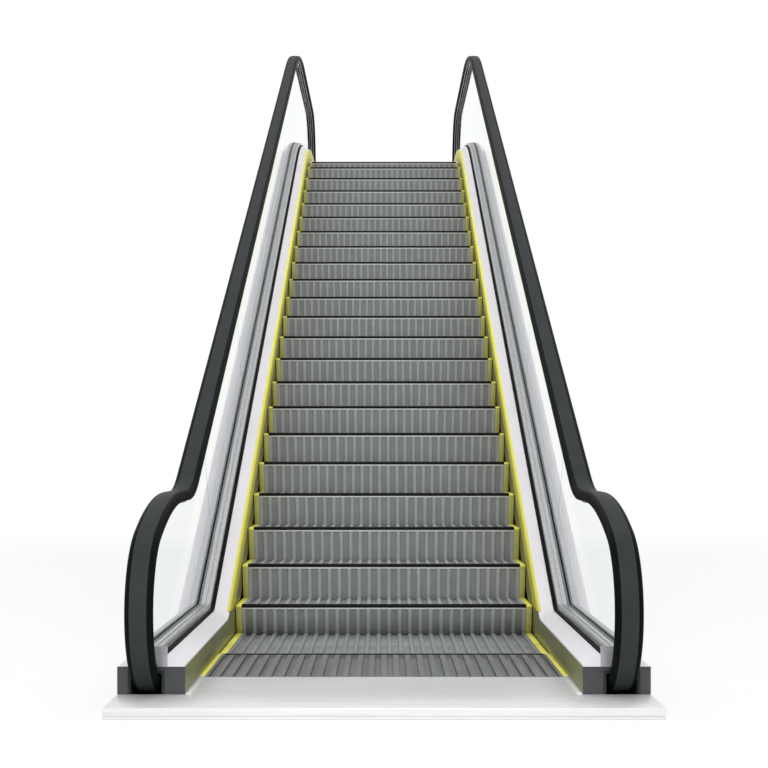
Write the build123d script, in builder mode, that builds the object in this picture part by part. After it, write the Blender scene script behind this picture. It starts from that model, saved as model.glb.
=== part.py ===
"""Glass-balustrade escalator, from the ground up.

Y runs up the incline, X is to the right of a rider going up, Z is up.
Heights called n are measured square to the step path, from the step noses.
"""
import os
from math import acos, cos, degrees, radians, sin, tan

from build123d import *

os.makedirs("parts", exist_ok=True)

# Steps
STEP_WIDTH = 1430.0
STEP_PITCH = 340.0
STEP_GAP = 4.0
RISER_COUNT = 22
STEP_COUNT = 27
LOWER_FLATS = 2
UPPER_FLATS = 2
GROUP_SIZE = 8
INCLINE = 30.0
LOWER_RADIUS = 250.0
UPPER_RADIUS = 2200.0
CLEAT_COUNT = 7
CLEAT_HEIGHT = 10.0
TREAD_THICK = 24.0
RISER_CLEAT = 8.0
RISER_PLATE = 12.0
RISER_START = 16.0
RISER_TAIL = 20.0
FOOT_WIDTH = 45.0
STRIP_WIDTH = 28.0
LANDING_STRIP = 20.0
SKIRT_STRIP = 6.0
SKIRT_STRIP_LOW = 25.0
SKIRT_STRIP_HIGH = 75.0
SKIRT_STRIP_START = 130.0
SKIRT_STRIP_END = 700.0

# Landings
PAN_THICK = 10.0
FLOOR_THICK = 30.0
FLOOR_REACH = 260.0
COMB_LENGTH = 562.0
COMB_LIFT = 4.0
COMB_GAP = 4.0
TOOTH_LENGTH = 70.0
TOOTH_SIDE_GAP = 5.0
TOOTH_DIP = 8.0
TOOTH_TIP = 2.0
LOWER_LANDING = 1341.0
UPPER_LANDING = 2650.0

# Balustrade
SKIRT_GAP = 4.0
SKIRT_THICK = 8.0
SKIRT_TOP = 100.0
SKIRT_DEPTH = 120.0
DECK_THICK = 8.0
INNER_DECK_WIDTH = 64.0
INNER_DECK_RISE = 38.0
CLAMP_INNER = 77.0
CLAMP_OUTER = 45.0
CLAMP_HEIGHT = 82.0
CLAMP_FLOOR = 42.0
OUTER_DECK_WIDTH = 60.0
CLADDING_THICK = 8.0
TRUSS_DEPTH = 700.0
SOFFIT_THICK = 8.0
GLASS_THICK = 12.0
GLASS_SLACK = 1.0
PANE_GAP = 4.0
INCLINE_PANES = 4
LOWER_PANE = 500.0
UPPER_PANE = 400.0

# Handrail
RAIL_HEIGHT = 826.0
LOWER_RAIL_HEIGHT = 693.0
UPPER_RAIL_HEIGHT = 1050.0
RETURN_HEIGHT = 8.0
RAIL_WIDTH = 100.0
RAIL_CROWN = 24.0
RAIL_LIP = 18.0
RAIL_BEVEL = 14.0
RAIL_LOWER_BEND = 500.0
RAIL_UPPER_BEND = 2500.0
NEWEL_SETBACK = 145.0
NEWEL_SWEEP = 1400.0
NEWEL_TURN = 296.0
GUIDE_WIDTH = 56.0
GUIDE_DEPTH = 26.0
GUIDE_SLACK = 2.0
SEAT = 0.3

# Newel bases and structure
BLOCK_LENGTH = 300.0
INLET_SLACK = 6.0
INLET_RISE = 50.0
TRACK_INSET = 60.0
TRACK_WIDTH = 80.0
TRACK_THICK = 20.0
BEAM_WIDTH = 100.0
BEAM_DEPTH = 90.0
END_THICK = 10.0
BEARER_REACH = 250.0
BEARER_DROP = 220.0
BEARER_THICK = 25.0
OVERRUN = 50.0

# Sizes that follow
slope = radians(INCLINE)
half_angle = slope / 2
going = STEP_PITCH * cos(slope)
rise = RISER_COUNT * STEP_PITCH * sin(slope)
run = RISER_COUNT * going
landing = PAN_THICK + FLOOR_THICK
upper_level = landing + rise
step_half = STEP_WIDTH / 2
cleat_half = step_half - STRIP_WIDTH
cleat_unit = cleat_half * 2 / (CLEAT_COUNT * 2 - 1)
tread_length = STEP_PITCH - STEP_GAP
riser_length = STEP_PITCH * sin(half_angle) * 2 + RISER_TAIL
first_nose = -LOWER_RADIUS * tan(half_angle) - (LOWER_FLATS - 1) * STEP_PITCH
skirt_in = step_half + SKIRT_GAP
skirt_out = skirt_in + SKIRT_THICK
clamp_in = skirt_in + INNER_DECK_WIDTH
rail_x = clamp_in + CLAMP_INNER
clamp_out = rail_x + CLAMP_OUTER
landing_half = skirt_in - LANDING_STRIP
side_out = clamp_out + OUTER_DECK_WIDTH
side_in = side_out - CLADDING_THICK
deck_low = SKIRT_TOP + INNER_DECK_RISE
deck_top = deck_low + DECK_THICK
clamp_low = SKIRT_TOP - DECK_THICK
clamp_top = clamp_low + CLAMP_HEIGHT
slot_floor = clamp_low + CLAMP_FLOOR
block_front = -LOWER_LANDING
block_back = run + UPPER_LANDING
lower_newel = block_front + NEWEL_SETBACK
upper_newel = block_back - NEWEL_SETBACK
newel_drop = LOWER_RAIL_HEIGHT - RETURN_HEIGHT
newel_step = NEWEL_SWEEP - NEWEL_TURN
sweep_angle = acos((NEWEL_SWEEP + NEWEL_TURN - newel_drop) / newel_step)
newel_crest = lower_newel + newel_step * sin(sweep_angle)


def corners(n, y_start, y_end):
    """Corner points of the step path moved by n square to itself."""
    shift = n * tan(half_angle)
    return [
        (y_start, landing + n),
        (-shift, landing + n),
        (run - shift, upper_level + n),
        (y_end, upper_level + n),
    ]


def on_slope(y, n):
    """Point over y on the straight incline, moved by n square to it."""
    return (y, landing + y * tan(slope) + n / cos(slope))


def path_radii(n):
    """Bend radii of the step path moved by n."""
    return [LOWER_RADIUS - n, UPPER_RADIUS + n]


def band_lines(n_low, n_high, y_start, y_end):
    """Outline of a strip that follows the step path."""
    low = FilletPolyline(*corners(n_low, y_start, y_end), radius=path_radii(n_low))
    high = FilletPolyline(*corners(n_high, y_start, y_end), radius=path_radii(n_high))
    Line(low @ 0, high @ 0)
    Line(low @ 1, high @ 1)


def rail_corner(height, out):
    """How far past the end of the slope the handrail line meets a level height."""
    return (height + out - (RAIL_HEIGHT + out) / cos(slope)) / tan(slope)


def loop_lines(out):
    """Closed handrail line, moved outwards by out, with a swept lower newel and a round upper one."""
    low_top = landing + LOWER_RAIL_HEIGHT + out
    high_top = upper_level + UPPER_RAIL_HEIGHT + out
    top = FilletPolyline(
        (newel_crest, low_top),
        (rail_corner(LOWER_RAIL_HEIGHT, out), low_top),
        (run + rail_corner(UPPER_RAIL_HEIGHT, out), high_top),
        (upper_newel, high_top),
        radius=[RAIL_LOWER_BEND - out, RAIL_UPPER_BEND + out],
    )
    back = FilletPolyline(
        *corners(RETURN_HEIGHT - out, lower_newel, upper_newel),
        radius=path_radii(RETURN_HEIGHT - out),
    )
    front = JernArc(top @ 0, (-1, 0), NEWEL_SWEEP + out, degrees(sweep_angle))
    TangentArc(front @ 1, back @ 0, tangent=front % 1)
    TangentArc(top @ 1, back @ 1, tangent=top % 1)


def band(x_low, x_high, n_low, n_high, y_start, y_end, mode=Mode.ADD):
    """Straight-sided bar between two sides and two heights along the path."""
    with BuildSketch(Plane.YZ.offset(x_low)) as outline:
        with BuildLine():
            band_lines(n_low, n_high, y_start, y_end)
        make_face()
    extrude(outline.sketch, amount=x_high - x_low, mode=mode)


def block(x_low, x_high, y_low, y_high, z_low, z_high, mode=Mode.ADD):
    """Upright block between six limits."""
    with BuildSketch(Plane.XY.offset(z_low)) as outline:
        with Locations(((x_low + x_high) / 2, (y_low + y_high) / 2)):
            Rectangle(x_high - x_low, y_high - y_low)
    extrude(outline.sketch, amount=z_high - z_low, mode=mode)


def ring(x_low, x_high, out_low, out_high, mode=Mode.ADD):
    """Closed loop between two outward offsets of the handrail line."""
    with BuildSketch(Plane.YZ.offset(x_low)) as outline:
        with BuildLine():
            loop_lines(out_high)
        make_face()
        with BuildLine():
            loop_lines(out_low)
        make_face(mode=Mode.SUBTRACT)
    extrude(outline.sketch, amount=x_high - x_low, mode=mode)


def save(solid, name):
    solid.label = name
    export_step(solid, f"parts/{name}.step")


def save_pair(solid, name):
    """Right-hand piece as drawn, left-hand piece mirrored."""
    save(solid, f"{name}_right")
    save(solid.mirror(Plane.YZ), f"{name}_left")


# Where the step noses stand along the path
with BuildLine(Plane.YZ) as nose_path:
    FilletPolyline(*corners(0, first_nose, block_back), radius=path_radii(0))
nose_wire = nose_path.wires()[0]
noses = [nose_wire.position_at(i * STEP_PITCH / nose_wire.length) for i in range(STEP_COUNT)]
last_nose = noses[-1].Y
lower_comb_root = first_nose - COMB_GAP
upper_comb_root = last_nose + tread_length + COMB_GAP
lower_comb_front = lower_comb_root - COMB_LENGTH
upper_comb_back = upper_comb_root + COMB_LENGTH

# One step: cleated tread and cleated, raked riser
cleat_sites = [(i - (CLEAT_COUNT - 1) / 2) * cleat_unit * 2 for i in range(CLEAT_COUNT)]
groove_sites = [x + cleat_unit for x in cleat_sites[:-1]]
rake = Vector(0, sin(half_angle), -cos(half_angle))
riser_plane = Plane(origin=rake * RISER_START, x_dir=(1, 0, 0), z_dir=rake)
riser_back = -RISER_CLEAT - RISER_PLATE / 2
track_outer = step_half - TRACK_INSET
track_inner = track_outer - TRACK_WIDTH

# Shoe under the riser: level in front, on the slope behind
shoe_front = rake * riser_length
shoe_back = shoe_front - riser_plane.y_dir * (RISER_CLEAT + RISER_PLATE)
shoe_tip = Vector(0, shoe_back.Y + (shoe_front.Z - shoe_back.Z) / tan(slope), shoe_front.Z)


def tread():
    with BuildSketch(Plane.XZ.offset(-tread_length)) as outline:
        with Locations((0, -(TREAD_THICK + CLEAT_HEIGHT) / 2)):
            Rectangle(STEP_WIDTH, TREAD_THICK - CLEAT_HEIGHT)
        with Locations(*[(x, -CLEAT_HEIGHT / 2) for x in cleat_sites]):
            Rectangle(cleat_unit, CLEAT_HEIGHT)
    extrude(outline.sketch, amount=tread_length)


def riser():
    with BuildSketch(riser_plane) as outline:
        with Locations((0, riser_back)):
            Rectangle(STEP_WIDTH, RISER_PLATE)
        with Locations(*[(x, -RISER_CLEAT / 2) for x in cleat_sites]):
            Rectangle(cleat_unit, RISER_CLEAT)
    extrude(outline.sketch, amount=riser_length - RISER_START)


def shoes():
    for x in (-track_outer, track_inner):
        with BuildSketch(Plane.YZ.offset(x)) as outline:
            with BuildLine():
                Polyline([(p.Y, p.Z) for p in (shoe_front, shoe_tip, shoe_back)], close=True)
            make_face()
        extrude(outline.sketch, amount=TRACK_WIDTH)


with BuildPart() as step:
    tread()
    riser()
    shoes()

with BuildPart() as flat_step:
    tread()


def above_pan(solid):
    """What stands above the base pan."""
    if solid.bounding_box().min.Z >= PAN_THICK:
        return solid
    return split(solid, bisect_by=Plane.XY.offset(PAN_THICK), keep=Keep.TOP, mode=Mode.PRIVATE)


def step_group(first, last):
    """Steps of one group, each a solid of its own."""
    with BuildPart() as group:
        add([above_pan(step.part.moved(Location(nose))) for nose in noses[first:last]])
    return group.part


with BuildPart() as lower_flats:
    with Locations(*noses[:LOWER_FLATS]):
        add(flat_step.part)
    for nose in noses[:LOWER_FLATS]:
        foot = nose.Y + tread_length / 2
        for side in (-1, 1):
            block(
                side * track_outer - FOOT_WIDTH / 2,
                side * track_outer + FOOT_WIDTH / 2,
                foot - FOOT_WIDTH,
                foot + FOOT_WIDTH,
                PAN_THICK,
                landing - TREAD_THICK,
            )
save(lower_flats.part, "lower_flat_steps")
incline_last = STEP_COUNT - UPPER_FLATS
group_names = ["lower_steps", "middle_steps", "upper_steps"]
for i, group_name in enumerate(group_names):
    group_first = LOWER_FLATS + i * GROUP_SIZE
    group_last = min(group_first + GROUP_SIZE, incline_last)
    save(step_group(group_first, group_last), group_name)
save(step_group(incline_last, STEP_COUNT), "upper_flat_steps")

# Yellow edge strips on the steps, along the landings and up the skirts
with BuildPart() as tread_strip:
    block(cleat_half, step_half, 0, tread_length, -CLEAT_HEIGHT, 0)

with BuildPart() as riser_strip:
    with BuildSketch(riser_plane.offset(TREAD_THICK)):
        with Locations((cleat_half + STRIP_WIDTH / 2, -RISER_CLEAT / 2)):
            Rectangle(STRIP_WIDTH, RISER_CLEAT)
    extrude(amount=riser_length - RISER_START - TREAD_THICK)

with BuildPart() as edge_strip:
    on_treads = [tread_strip.part.moved(Location(nose)) for nose in noses]
    on_risers = [above_pan(riser_strip.part.moved(Location(nose))) for nose in noses[LOWER_FLATS:]]
    add(on_treads + on_risers)
    for y_low, y_high, level in [
        (block_front, lower_comb_root, landing),
        (upper_comb_root, block_back, upper_level),
    ]:
        block(landing_half, skirt_in, y_low, y_high, level - CLEAT_HEIGHT, level + COMB_LIFT)
    with BuildSketch(Plane.YZ.offset(skirt_in - SKIRT_STRIP)) as skirt_line:
        with BuildLine():
            Polyline(
                on_slope(SKIRT_STRIP_START, SKIRT_STRIP_LOW),
                on_slope(run - SKIRT_STRIP_END, SKIRT_STRIP_LOW),
                on_slope(run - SKIRT_STRIP_END, SKIRT_STRIP_HIGH),
                on_slope(SKIRT_STRIP_START, SKIRT_STRIP_HIGH),
                close=True,
            )
        make_face()
    extrude(skirt_line.sketch, amount=SKIRT_STRIP)
save_pair(edge_strip.part, "edge_strips")


# Comb plates, their teeth lying in the tread grooves
def comb_plate(y_root, toward, level):
    """Ribbed plate behind y_root with teeth that reach past it."""
    tooth = cleat_unit - TOOTH_SIDE_GAP * 2
    tip = y_root + toward * TOOTH_LENGTH
    heel = y_root - toward * COMB_LENGTH
    top = level + COMB_LIFT
    base_top = level - CLEAT_HEIGHT
    y_low, y_high = sorted((heel, y_root))
    block(-skirt_in, skirt_in, y_low, y_high, level - FLOOR_THICK, base_top)
    block(-landing_half, -cleat_half, y_low, y_high, base_top, top)
    block(cleat_half, landing_half, y_low, y_high, base_top, top)
    with BuildSketch(Plane.YZ) as outline:
        with BuildLine():
            Polyline(
                (heel, base_top),
                (heel, top),
                (y_root, top),
                (tip, level - TOOTH_DIP + TOOTH_TIP),
                (tip, level - TOOTH_DIP),
                (y_root, level - TOOTH_DIP),
                (y_root, base_top),
                close=True,
            )
        make_face()
    blade = extrude(outline.sketch, amount=tooth / 2, both=True, mode=Mode.PRIVATE)
    with Locations(*[(x, 0, 0) for x in groove_sites]):
        add(blade)


with BuildPart() as lower_comb:
    comb_plate(lower_comb_root, 1, landing)
save(lower_comb.part, "lower_comb_plate")

with BuildPart() as upper_comb:
    comb_plate(upper_comb_root, -1, upper_level)
save(upper_comb.part, "upper_comb_plate")


# Floor plates, wide in front of the newel bases
def floor_plate(y_wide, y_joint, y_comb, level):
    """Wide plate as far as the newel bases, then a plate between the skirts."""
    low = level - FLOOR_THICK
    seat = level - CLEAT_HEIGHT
    block(-side_out, side_out, min(y_wide, y_joint), max(y_wide, y_joint), low, level)
    y_low, y_high = sorted((y_joint, y_comb))
    block(-skirt_in, skirt_in, y_low, y_high, low, seat)
    block(-landing_half, landing_half, y_low, y_high, seat, level)


with BuildPart() as lower_floor:
    floor_plate(block_front - FLOOR_REACH, block_front, lower_comb_front, landing)
save(lower_floor.part, "lower_floor_plate")

with BuildPart() as upper_floor:
    floor_plate(block_back + FLOOR_REACH, block_back, upper_comb_back, upper_level)
save(upper_floor.part, "upper_floor_plate")

# Base pan on the ground
soffit_foot = TRUSS_DEPTH * tan(half_angle) + (TRUSS_DEPTH - FLOOR_THICK) / tan(slope)
with BuildPart() as pan:
    block(-side_out, side_out, block_front - FLOOR_REACH, soffit_foot, 0, PAN_THICK)
save(pan.part, "base_pan")


def path_piece(x_low, x_high, n_low, n_high):
    """Bar along the whole path, cut off at the base pan."""
    with BuildPart() as piece:
        band(x_low, x_high, n_low, n_high, block_front, block_back)
    return above_pan(piece.part)


# Skirts, decks and outer cladding
save_pair(path_piece(skirt_in, skirt_out, -SKIRT_DEPTH, SKIRT_TOP), "skirt")
save_pair(path_piece(clamp_out, side_out, clamp_low, SKIRT_TOP), "outer_deck")
save_pair(path_piece(side_in, side_out, -TRUSS_DEPTH, clamp_low), "side_cladding")

with BuildPart() as inner_deck:
    with BuildLine(Plane.YZ) as deck_path:
        FilletPolyline(*corners(0, block_front, block_back), radius=path_radii(0))
    with BuildSketch(Plane.XZ.offset(-block_front)):
        with BuildLine():
            Polyline(
                (skirt_in, landing + SKIRT_TOP),
                (skirt_out, landing + SKIRT_TOP),
                (clamp_in, landing + deck_low),
                (clamp_in, landing + deck_top),
                (skirt_out, landing + SKIRT_TOP + DECK_THICK),
                (skirt_in, landing + SKIRT_TOP + DECK_THICK),
                close=True,
            )
        make_face()
    sweep(path=deck_path.wires()[0])
save_pair(inner_deck.part, "inner_deck")

# Glass clamp: a channel with the panes standing in its slot
glass_half = GLASS_THICK / 2
slot_half = glass_half + GLASS_SLACK
with BuildPart() as clamp:
    band(clamp_in, clamp_out, clamp_low, clamp_top, block_front, block_back)
    band(
        rail_x - slot_half,
        rail_x + slot_half,
        slot_floor,
        clamp_top + OVERRUN,
        block_front - OVERRUN,
        block_back + OVERRUN,
        mode=Mode.SUBTRACT,
    )
save_pair(clamp.part, "glass_clamp")

# Glass panes, cut from one outline
pane_run = (run - LOWER_PANE - UPPER_PANE) / INCLINE_PANES
pane_cuts = [LOWER_PANE + i * pane_run for i in range(INCLINE_PANES + 1)]
with BuildPart() as glass:
    with BuildSketch(Plane.YZ.offset(rail_x - glass_half)):
        with BuildLine():
            loop_lines(-GUIDE_DEPTH - SEAT)
        make_face()
        with BuildLine():
            band_lines(
                -SKIRT_DEPTH,
                slot_floor,
                block_front - RAIL_HEIGHT,
                block_back + RAIL_HEIGHT,
            )
        make_face(mode=Mode.SUBTRACT)
        for y in pane_cuts:
            with Locations(Location(on_slope(y, 0), INCLINE)):
                Rectangle(PANE_GAP, RAIL_HEIGHT * 2 + OVERRUN, mode=Mode.SUBTRACT)
    extrude(amount=GLASS_THICK)
panes = glass.solids().sort_by(Axis.Y)
save_pair(Part(panes[0].wrapped), "lower_newel_glass")
save_pair(Part(panes[-1].wrapped), "upper_newel_glass")
save_pair(Part(Compound(panes[1:-1]).wrapped), "incline_glass")

# Handrail guide on the glass edge, ending at the newel bases
guide_half = GUIDE_WIDTH / 2
with BuildPart() as guide:
    ring(rail_x - guide_half, rail_x + guide_half, -GUIDE_DEPTH, 0)
    band(
        rail_x - guide_half,
        rail_x + guide_half,
        -SKIRT_DEPTH,
        clamp_top,
        block_front,
        block_back,
        mode=Mode.SUBTRACT,
    )
save_pair(guide.part, "handrail_guide")

# Handrail: one closed loop of open section riding on the guide
rail_half = RAIL_WIDTH / 2
mouth_half = guide_half + GUIDE_SLACK
with BuildPart() as handrail:
    ring(rail_x - rail_half, rail_x + rail_half, -RAIL_LIP, RAIL_CROWN)
    sides = handrail.faces().filter_by(Axis.X).sort_by(Axis.X)
    chamfer(sides[0].outer_wire().edges() + sides[-1].outer_wire().edges(), length=RAIL_BEVEL)
    ring(rail_x - mouth_half, rail_x + mouth_half, -RAIL_LIP - OVERRUN, SEAT, mode=Mode.SUBTRACT)
save_pair(handrail.part, "handrail")


# Newel bases with the handrail inlets
def newel_base(y_low, y_high, level):
    inlet_half = rail_half + INLET_SLACK
    inlet_low = level + RETURN_HEIGHT - RAIL_CROWN - INLET_SLACK
    inlet_high = level + RETURN_HEIGHT + RAIL_LIP + INLET_RISE
    with BuildSketch(Plane.XZ.offset(-y_high)) as outline:
        with BuildLine():
            Polyline(
                (skirt_out, level - FLOOR_THICK),
                (skirt_out, level + SKIRT_TOP),
                (clamp_in, level + deck_low),
                (clamp_in, level + clamp_low),
                (side_in, level + clamp_low),
                (side_in, level - FLOOR_THICK),
                close=True,
            )
        make_face()
    extrude(outline.sketch, amount=y_high - y_low)
    block(
        rail_x - inlet_half,
        rail_x + inlet_half,
        y_low - OVERRUN,
        y_high + OVERRUN,
        inlet_low,
        inlet_high,
        mode=Mode.SUBTRACT,
    )


with BuildPart() as lower_base:
    newel_base(block_front, block_front + BLOCK_LENGTH, landing)
save_pair(lower_base.part, "lower_newel_base")

with BuildPart() as upper_base:
    newel_base(block_back - BLOCK_LENGTH, block_back, upper_level)
save_pair(upper_base.part, "upper_newel_base")

# Tracks under the riser shoes
with BuildPart() as track:
    band(
        track_inner,
        track_outer,
        -TRACK_THICK - SEAT,
        -SEAT,
        block_front,
        block_back - shoe_tip.Y,
    )
save_pair(above_pan(track.part.moved(Location(shoe_tip))), "step_track")

# Soffit, cross beam, end plate and upper bearer
save(path_piece(-side_in, side_in, -TRUSS_DEPTH, SOFFIT_THICK - TRUSS_DEPTH), "soffit")

beam_top = upper_level - FLOOR_THICK
bearer_front = block_back + END_THICK
with BuildPart() as beam:
    block(
        -skirt_in,
        skirt_in,
        upper_comb_back - BEAM_WIDTH / 2,
        upper_comb_back + BEAM_WIDTH / 2,
        beam_top - BEAM_DEPTH,
        beam_top,
    )
save(beam.part, "upper_cross_beam")

with BuildPart() as end_plate:
    block(
        -side_out,
        side_out,
        block_back,
        bearer_front,
        upper_level - TRUSS_DEPTH,
        beam_top,
    )
save(end_plate.part, "upper_end_plate")

with BuildPart() as bearer:
    for reach, drop in [(BEARER_REACH, BEARER_THICK), (BEARER_THICK, BEARER_DROP)]:
        block(-side_in, side_in, bearer_front, bearer_front + reach, beam_top - drop, beam_top)
save(bearer.part, "upper_bearer")
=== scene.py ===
# %% [markdown]
# # A glass-sided escalator, dressed in Blender
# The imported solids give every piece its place. This lesson puts the fine work on top of them: ribbed
# steps, comb teeth, a rounded handrail, the profile that grips the glass, and a finish for each metal,
# paint, rubber and glass. Everything stays in the frame of the solids, in metres, with Z up.

from math import acos, cos, pi, radians, sin, tan

import bmesh
import bpy
from mathutils import Matrix, Vector


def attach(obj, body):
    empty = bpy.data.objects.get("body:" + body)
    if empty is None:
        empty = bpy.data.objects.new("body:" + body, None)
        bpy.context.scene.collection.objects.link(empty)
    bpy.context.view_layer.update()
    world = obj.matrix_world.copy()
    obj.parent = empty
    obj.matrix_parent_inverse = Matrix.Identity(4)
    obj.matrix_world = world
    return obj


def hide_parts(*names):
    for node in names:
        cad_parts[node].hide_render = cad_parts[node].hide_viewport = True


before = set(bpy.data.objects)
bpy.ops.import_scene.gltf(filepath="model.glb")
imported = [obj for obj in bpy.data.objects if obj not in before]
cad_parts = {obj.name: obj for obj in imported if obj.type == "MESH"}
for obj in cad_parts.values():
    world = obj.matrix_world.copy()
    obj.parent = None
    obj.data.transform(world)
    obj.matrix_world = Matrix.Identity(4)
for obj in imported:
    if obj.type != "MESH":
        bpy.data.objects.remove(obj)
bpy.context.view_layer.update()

# %% [markdown]
# ## The line everything follows
# An escalator is drawn round one line, the line through the step noses: level, up the slope, level
# again, with an arc at each bend. Skirts, decks and glass clamp are the same line moved square to
# itself, so a single function that gives points on the moved line serves all of them. The sizes are the
# ones that the solids were drawn with.

# %% Step line
SLOPE = radians(30)
PITCH = 0.340
GOING = PITCH * cos(SLOPE)
RISERS = 22
RUN = RISERS * GOING
LOW, HIGH = 0.040, 3.780
LOWER_BEND, UPPER_BEND = 0.250, 2.200
UPPER_LANDING = 2.650
FRONT, BACK = -1.341, RUN + UPPER_LANDING
ARC_PARTS = 14


def arc(centre, radius, start, end, parts=ARC_PARTS):
    """Points (y, z) on an arc, angles counted from straight up, clockwise."""
    angles = [start + (end - start) * i / parts for i in range(parts + 1)]
    return [(centre[0] + radius * sin(a), centre[1] + radius * cos(a)) for a in angles]


def bend_up(corner, radius):
    """From level to the slope, as at the foot."""
    reach = radius * tan(SLOPE / 2)
    return arc((corner[0] - reach, corner[1] + radius), radius, pi, pi - SLOPE)


def bend_level(corner, radius):
    """From the slope to level, as at the head."""
    reach = radius * tan(SLOPE / 2)
    return arc((corner[0] + reach, corner[1] - radius), radius, -SLOPE, 0)


def step_line(n, start=FRONT, end=BACK):
    """The nose line moved by n square to itself, as points (y, z)."""
    shift = n * tan(SLOPE / 2)
    foot = bend_up((-shift, LOW + n), LOWER_BEND - n)
    head = bend_level((RUN - shift, HIGH + n), UPPER_BEND + n)
    return [(start, LOW + n)] + foot + head + [(end, HIGH + n)]


print("from", FRONT, "to", round(BACK, 3), "with a slope of", round(RUN, 3), "m")

# %% [markdown]
# ## Where the steps stand
# Step noses lie on the line at equal pitch, measured along it, because the steps are links of a chain.

# %% Step noses
STEPS = 27


def walk(points, distance):
    """The point (y, z) at a distance along a line."""
    for (y0, z0), (y1, z1) in zip(points, points[1:]):
        length = ((y1 - y0) ** 2 + (z1 - z0) ** 2) ** 0.5
        if distance <= length:
            t = distance / length
            return (y0 + (y1 - y0) * t, z0 + (z1 - z0) * t)
        distance -= length
    return points[-1]


first_nose = -LOWER_BEND * tan(SLOPE / 2) - PITCH
noses = [walk(step_line(0, first_nose), i * PITCH) for i in range(STEPS)]
print("noses from", noses[0], "to", noses[-1])

# %% [markdown]
# ## Handling meshes
# Three small helpers save repetition. One makes an object from points and faces, one turns an object
# with its modifiers into a plain mesh with clean outward normals, and one hands a finished piece to the
# frame: it rides on the fixed body and may stand for a solid.

# %% Mesh helpers
MERGE = 1e-5
SMOOTH_UP_TO = 32
scene = bpy.context.scene


def piece(name, points, faces=(), edges=()):
    """An object with a mesh of its own, at the origin."""
    mesh = bpy.data.meshes.new(name)
    mesh.from_pydata([tuple(p) for p in points], list(edges), [tuple(f) for f in faces])
    made = bpy.data.objects.new(name, mesh)
    scene.collection.objects.link(made)
    return made


def plain(made, sharp=SMOOTH_UP_TO):
    """Bake the modifiers into the mesh, merge, turn the faces outwards, and shade smooth up to an angle."""
    depsgraph = bpy.context.evaluated_depsgraph_get()
    mesh = bpy.data.meshes.new_from_object(made.evaluated_get(depsgraph))
    made.modifiers.clear()
    old = made.data
    made.data = mesh
    bpy.data.meshes.remove(old)
    shape = bmesh.new()
    shape.from_mesh(mesh)
    bmesh.ops.remove_doubles(shape, verts=shape.verts, dist=MERGE)
    bmesh.ops.recalc_face_normals(shape, faces=shape.faces)
    shape.to_mesh(mesh)
    shape.free()
    mesh.shade_smooth()
    mesh.set_sharp_from_angle(angle=radians(sharp))
    return made


def fit(made, slot, *nodes):
    """Ride on the fixed body and stand for the named solids; the slot is not used."""
    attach(made, "root")
    if nodes:
        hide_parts(*nodes)
    print(made.name, len(made.data.polygons), "faces for", nodes or "no solid")
    return made


print("edges stay sharp over", SMOOTH_UP_TO, "degrees")

# %% [markdown]
# ## Finishes
# Every finish starts from one shader. A broad noise on Object coordinates shifts colour and gloss a
# little, because no real coat is even, and a fine one gives the surface its relief: the sand of a
# casting, the lines of a brush, the peel of a paint. Brushed and drawn metal stretches both noises along
# the brushing; paint, casting and rubber leave them round. The colours are written as the surfaces look
# in plain light.

# %% Finish helper
RELIEF_DEPTH = 0.0005
TINT_STOPS = (0.32, 0.68)
BROAD_DETAIL, FINE_DETAIL = 4, 2


def linear(*srgb):
    """A colour from 0-255 as seen, to the shader's own scale."""
    return tuple(
        c / 255 / 12.92 if c <= 10 else ((c / 255 + 0.055) / 1.055) ** 2.4 for c in srgb
    ) + (1.0,)


def noise_in(material, waves, detail):
    """A noise on Object coordinates, with its waves to the metre along X, Y and Z."""
    nodes, links = material.node_tree.nodes, material.node_tree.links
    spot = nodes.new("ShaderNodeTexCoord")
    stretch = nodes.new("ShaderNodeMapping")
    stretch.inputs["Scale"].default_value = waves
    links.new(spot.outputs["Object"], stretch.inputs["Vector"])
    noise = nodes.new("ShaderNodeTexNoise")
    noise.inputs["Scale"].default_value = 1.0
    noise.inputs["Detail"].default_value = detail
    links.new(stretch.outputs["Vector"], noise.inputs["Vector"])
    return noise.outputs["Fac"]


def finish(name, light, dark, rough, grain, fine, relief, metal=0.0, specular=0.5):
    """Two colours and a range of gloss on a broad noise (grain), and a relief on a fine one."""
    made = bpy.data.materials.new(name)
    made.use_nodes = True
    nodes, links = made.node_tree.nodes, made.node_tree.links
    shader = nodes["Principled BSDF"]
    shader.inputs["Metallic"].default_value = metal
    shader.inputs["Specular IOR Level"].default_value = specular
    broad = noise_in(made, grain, BROAD_DETAIL)
    tint = nodes.new("ShaderNodeValToRGB")
    for stop, position, colour in zip(tint.color_ramp.elements, TINT_STOPS, (dark, light)):
        stop.position = position
        stop.color = linear(*colour)
    links.new(broad, tint.inputs["Fac"])
    links.new(tint.outputs["Color"], shader.inputs["Base Color"])
    gloss = nodes.new("ShaderNodeMapRange")
    gloss.inputs["To Min"].default_value, gloss.inputs["To Max"].default_value = rough
    links.new(broad, gloss.inputs["Value"])
    links.new(gloss.outputs["Result"], shader.inputs["Roughness"])
    bump = nodes.new("ShaderNodeBump")
    bump.inputs["Strength"].default_value = relief
    bump.inputs["Distance"].default_value = RELIEF_DEPTH
    links.new(noise_in(made, fine, FINE_DETAIL), bump.inputs["Height"])
    links.new(bump.outputs["Normal"], shader.inputs["Normal"])
    return made


def even(waves):
    """The same waves along all three axes."""
    return (waves, waves, waves)


print("one shader, a broad and a fine noise")
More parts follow.
